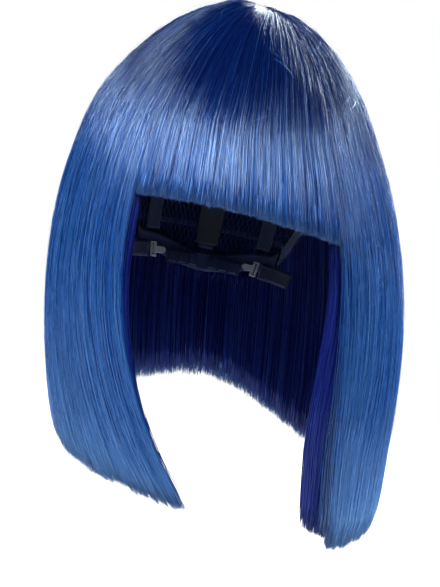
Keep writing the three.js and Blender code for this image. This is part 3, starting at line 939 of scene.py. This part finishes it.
def add_bands():
    """The bands round the cap's edge, and the tabs that hang from it in front of the ears."""
    brow = (-BAND["forehead"], BAND["forehead"])
    nape = (BAND["nape"], 360 - BAND["nape"])
    add_band("forehead_band", "cap", brow, rim, over_rim, arc(brow, BAND_LEVEL["forehead"]), 90)
    add_band("nape_band", "cap", nape, rim, over_rim, arc(nape, BAND_LEVEL["nape"]), 60)

    def tab_foot(azimuth):
        off = (np.abs(azimuth) - TAB["azimuth"]) / TAB["half"]
        return TAB["foot"] - TAB["foot"] * np.sqrt(np.maximum(0, 1 - off**2)) * 0.98

    for name, side in SIDES.items():
        ends = (side * (TAB["azimuth"] - TAB["half"]), side * (TAB["azimuth"] + TAB["half"]))
        top = level_line(TAB["top"])
        tab = tape(f"ear_tab_{name}_ribbon", ends, tab_foot, top, RIBBON_AT, RIBBON, 40, 25)
        finish_piece(tab, f"{name}_tab", "ribbon", f"ear_tab_{name}")
        width = arc(ends, BAND_LEVEL["tab"])
        inside = (lerp(*ends, 0.12), lerp(*ends, 0.88))
        near, margin = RIBBON_AT[0] - THREAD, 3
        stitches(f"ear_tab_{name}_seam", inside, lambda a: tab_foot(a) + margin, near, f"{name}_tab")
        stitches(f"ear_tab_{name}_top_seam", inside, level_line(TAB["top"] - margin), near, f"{name}_tab")
        ears = (side * BAND["ear"][0], side * BAND["ear"][1])
        long = math.hypot(arc(ears, BAND_LEVEL["ear"]), BAND["ear_rise"])
        add_band(f"ear_band_{name}", "cap", ears, rim, over_rim, long, 60)


def add_spine(node, azimuth, top):
    """An upright elastic ribbon, as wide all the way up."""
    foot = BAND["width"] + BAND["to_spine"] + max(rim(azimuth - 6), rim(azimuth + 6))
    rows, columns = 70, 9
    u = np.linspace(-0.5, 0.5, columns)[None, :]
    height = np.linspace(float(foot), top, rows)[:, None]
    around = np.sqrt(1 - (height / HEAD["crown"]) ** 2) * HEAD["half_length"]
    place = azimuth + np.degrees(u * BAND["width"] / around)
    ribs = 0.12 * np.cos(np.arange(rows) * np.pi)[:, None] + 0.15 * (np.abs(u) > 0.36)
    outer = on_head(place, height, RIBBON_AT[1] + ribs)
    inner = on_head(place, height, RIBBON_AT[0] - ribs)
    drop = lengths(outer, 0)
    uv = np.stack(np.broadcast_arrays(u * BAND["width"], drop), -1)
    piece = plate_mesh(f"{node}_elastic", outer, inner, ELASTIC, uv)
    finish_piece(piece, "cap", "elastic", node)


def add_patch():
    """The closed cloth at the top of the crown, inside the net."""
    radius = np.linspace(0.02, 1, 14)[:, None] * PATCH["radius"]
    azimuth = np.linspace(0, 360, 72)[None, :]

    def at(distance):
        height = (HEAD["crown"] + distance) * np.cos(radius / HEAD["crown"])
        return on_head(azimuth, height + 0 * azimuth, distance)

    uv = np.stack([radius * np.sin(np.radians(azimuth)), radius * np.cos(np.radians(azimuth))], -1)
    piece = plate_mesh("crown_patch_cloth", at(PATCH["outer"]), at(PATCH["inner"]), RIBBON, uv)
    finish_piece(piece, "cap", "net", "crown_patch")


def add_weft(node, azimuths, height, seed, fall=17.0):
    """A machine-sewn row: its tape, the zigzag that holds it, and the hair that springs from it."""
    top = height + WEFT["height"]
    faces = (WEFT["inner"], WEFT["outer"])
    bar = tape(f"{node}_tape", azimuths, level_line(height), level_line(top), faces, WEFT_TAPE, 90, 5, 0.1)
    finish_piece(bar, "cap", "weft", node)
    middle = level_line(height + WEFT["height"] / 2)
    stitches(f"{node}_zigzag", azimuths, middle, body="cap", **WEFT_ZIGZAG)
    draw = np.random.default_rng(seed)
    count = round(arc(azimuths, height) * 0.9)
    start = np.sort(draw.uniform(*sorted(azimuths), count))
    t = np.linspace(0, 1, 7)
    drop = t * fall * draw.uniform(0.8, 1.15, (count, 1))
    azimuth = start[:, None] + draw.normal(0, 1.2, (count, 1)) * t
    heights = top - 1 - drop
    spring = 3.9 + 1.6 * np.sin(np.pi * np.minimum(1, t * 1.4)) - 0.6 * t
    paths = on_head(azimuth, heights, spring + draw.uniform(-0.4, 0.6, (count, 1)))
    normals = head_normals(azimuth, heights)
    widths = draw.uniform(0.9, 1.6, (count, 1)) * (0.3 + 0.7 * smooth((1 - t) / 0.3))
    # the weft hair is in the darker copy of the fibre, painted shade inside the cap
    hair = strand_mesh(f"{node}_hair", paths, normals, widths, UNDER_PAINTED_SHADE_BLUE, start * 0.3)
    finish_piece(hair, "cap", "under_hair")


def add_wefts():
    for row in range(WEFT["rows"]):
        height = WEFT["first"] + row * WEFT["pitch"]
        start = WEFT["ear"]
        while rim(start) > height - 4:
            start += 1
        add_weft(f"weft_row_{row + 1}", (start, 360 - start), height, 700 + row)
    for name, side in SIDES.items():
        ends = (side * TEMPLE_WEFT["from"], side * TEMPLE_WEFT["to"])
        add_weft(f"temple_weft_{name}", ends, TEMPLE_WEFT["height"], 720 + side)
    half = FRINGE_WEFT["half"]
    add_weft("fringe_weft", (-half, half), FRINGE_WEFT["height"], 730, fall=9.0)


def add_label():
    """The blank satin label, sewn along its top and curling a little at its foot."""
    u = np.linspace(-1, 1, 21)[None, :]
    v = np.linspace(0, 1, 33)[:, None]
    azimuth = 180 + np.degrees(u * LABEL["half"] / HEAD["half_length"])
    height = lerp(LABEL["low"], LABEL["high"], v)
    curl = 2.2 * (1 - v) ** 2 * (1 + 0.25 * u) + 0.35 * np.sin(3 * u + 2 * v)
    outer = on_head(azimuth, height, LABEL["outer"] - curl)
    inner = on_head(azimuth, height, LABEL["inner"] - curl)
    uv = np.stack(np.broadcast_arrays(u * LABEL["half"], height + 0 * u), -1)
    piece = plate_mesh("care_label_satin", outer, inner, LABEL_SATIN, uv)
    finish_piece(piece, "cap", "label", "care_label")
    half = math.degrees(LABEL["half"] / HEAD["half_length"]) * 0.88
    seam = level_line(LABEL["high"] - 1.5)
    stitches("care_label_seam", (180 - half, 180 + half), seam, LABEL["thread"], "cap")


def add_strap(name, side):
    """An adjuster strap inside the nape, and the looks of its hook and the tape that holds it."""
    ends = (side * STRAP["from"], side * STRAP["to"])
    low, high = level_line(STRAP["low"]), level_line(STRAP["high"])
    long = arc(ends, (STRAP["low"] + STRAP["high"]) / 2)
    faces = (STRAP["inner"], STRAP["outer"])
    add_band(f"adjuster_strap_{name}", f"{name}_strap", ends, low, high, long, 30, ELASTIC, faces)
    for node, material in ((f"adjuster_hook_{name}", PLASTIC), (f"hook_tape_{name}", NET)):
        for slot in bpy.data.objects[node].material_slots:
            slot.material = material


# ---- camera, lights and floor ----


def look(azimuth, elevation, roll, right, up, distance, lens):
    """A camera at an angle, looking at a point right and up of the origin, in millimetres."""
    turn, tilt, lean = map(math.radians, (azimuth, elevation, roll))
    across = np.array([math.cos(turn), math.sin(turn), 0])
    away = np.array([-math.sin(turn), math.cos(turn), 0])
    vertical = math.cos(tilt) * UP + math.sin(tilt) * away
    back = math.sin(tilt) * UP - math.cos(tilt) * away
    place = (right * across + up * vertical + distance * back) * MM
    x_axis = math.cos(lean) * across + math.sin(lean) * vertical
    y_axis = math.cos(lean) * vertical - math.sin(lean) * across
    camera = bpy.data.objects.new("camera", bpy.data.cameras.new("camera"))
    SCENE.collection.objects.link(camera)
    rows = np.column_stack([x_axis, y_axis, back, place])
    camera.matrix_world = Matrix([*rows.tolist(), [0, 0, 0, 1]])
    camera.data.lens = lens
    camera.data.sensor_width = 36
    camera.data.clip_end = 40
    SCENE.camera = camera


def softbox(name, azimuth, elevation, distance, size, power):
    """A white area light at an angle, facing the origin, in metres and watts."""
    turn, tilt = math.radians(azimuth), math.radians(elevation)
    place = np.array([math.sin(turn) * math.cos(tilt), -math.cos(turn) * math.cos(tilt), math.sin(tilt)])
    data = bpy.data.lights.new(name, "AREA")
    data.shape = "RECTANGLE"
    data.size, data.size_y = size
    data.energy = power
    lamp = bpy.data.objects.new(name, data)
    lamp.location = Vector(place * distance)
    lamp.rotation_euler = (-lamp.location).to_track_quat("-Z", "Y").to_euler()
    SCENE.collection.objects.link(lamp)


def add_world():
    """A white backdrop that lights the wig from its sides, darker overhead."""
    world = bpy.data.worlds.new("studio")
    SCENE.world = world
    world.use_nodes = True
    tree = world.node_tree
    make, link = tree.nodes.new, tree.links.new
    place = make("ShaderNodeTexCoord")
    axes = make("ShaderNodeSeparateXYZ")
    link(place.outputs["Generated"], axes.inputs[0])
    fade = make("ShaderNodeMapRange")
    for socket, value in {"From Min": 0.05, "From Max": 0.6, "To Min": 0.14, "To Max": 0.03}.items():
        fade.inputs[socket].default_value = value
    link(axes.outputs["Z"], fade.inputs["Value"])
    background = tree.nodes["Background"]
    link(fade.outputs["Result"], background.inputs["Strength"])
    seen = make("ShaderNodeBackground")
    for node in (background, seen):
        node.inputs["Color"].default_value = (1, 1, 1, 1)
    choose = make("ShaderNodeMixShader")
    rays = make("ShaderNodeLightPath")
    link(rays.outputs["Is Camera Ray"], choose.inputs["Fac"])
    link(background.outputs[0], choose.inputs[1])
    link(seen.outputs[0], choose.inputs[2])
    link(choose.outputs[0], tree.nodes["World Output"].inputs["Surface"])


def add_floor(radius=0.75, around=64):
    turns = np.arange(around) * 2 * math.pi / around
    edge = [(radius * math.cos(turn), radius * math.sin(turn), 0) for turn in turns]
    mesh = bpy.data.meshes.new("floor")
    mesh.from_pydata(edge, [], [list(range(around))])
    floor = bpy.data.objects.new("floor", mesh)
    floor.location = (0, 0, CAD_BOX[0][2] - 0.05)
    SCENE.collection.objects.link(floor)
    mesh.materials.append(paper_material("paper", radius))


# ---- the wig and its picture ----


for number, lock in enumerate(LOCKS):
    add_lock(lock, 100 * (number + 1))
add_whorl()
add_flyaways()
add_net()
add_bands()
add_spine("spine_centre", *SPINES["centre"])
for name, side in SIDES.items():
    for kind in ("inner", "outer"):
        add_spine(f"spine_{kind}_{name}", side * SPINES[kind][0], SPINES[kind][1])
add_patch()
add_wefts()
add_label()
for name, side in SIDES.items():
    add_strap(name, side)

look(azimuth=-3, elevation=8, roll=12, right=11.2, up=-52, distance=1500, lens=147)
softbox("key", 8, 38, 1.7, (1.1, 0.5), 34)
softbox("key_low", 8, 22, 1.7, (0.9, 0.35), 8)
softbox("key_right", -74, 25, 1.7, (0.8, 0.62), 38)
softbox("fill_right", -60, 5, 1.9, (0.6, 1.0), 0.7)
softbox("fill_left", 52, 0, 1.9, (0.6, 1.0), 1.0)
softbox("rim_left", 148, 18, 1.7, (1.0, 1.2), 135)
softbox("rim_right", -145, 14, 1.7, (0.4, 0.8), 10)
add_world()
add_floor()
SCENE.view_settings.view_transform = "Standard"
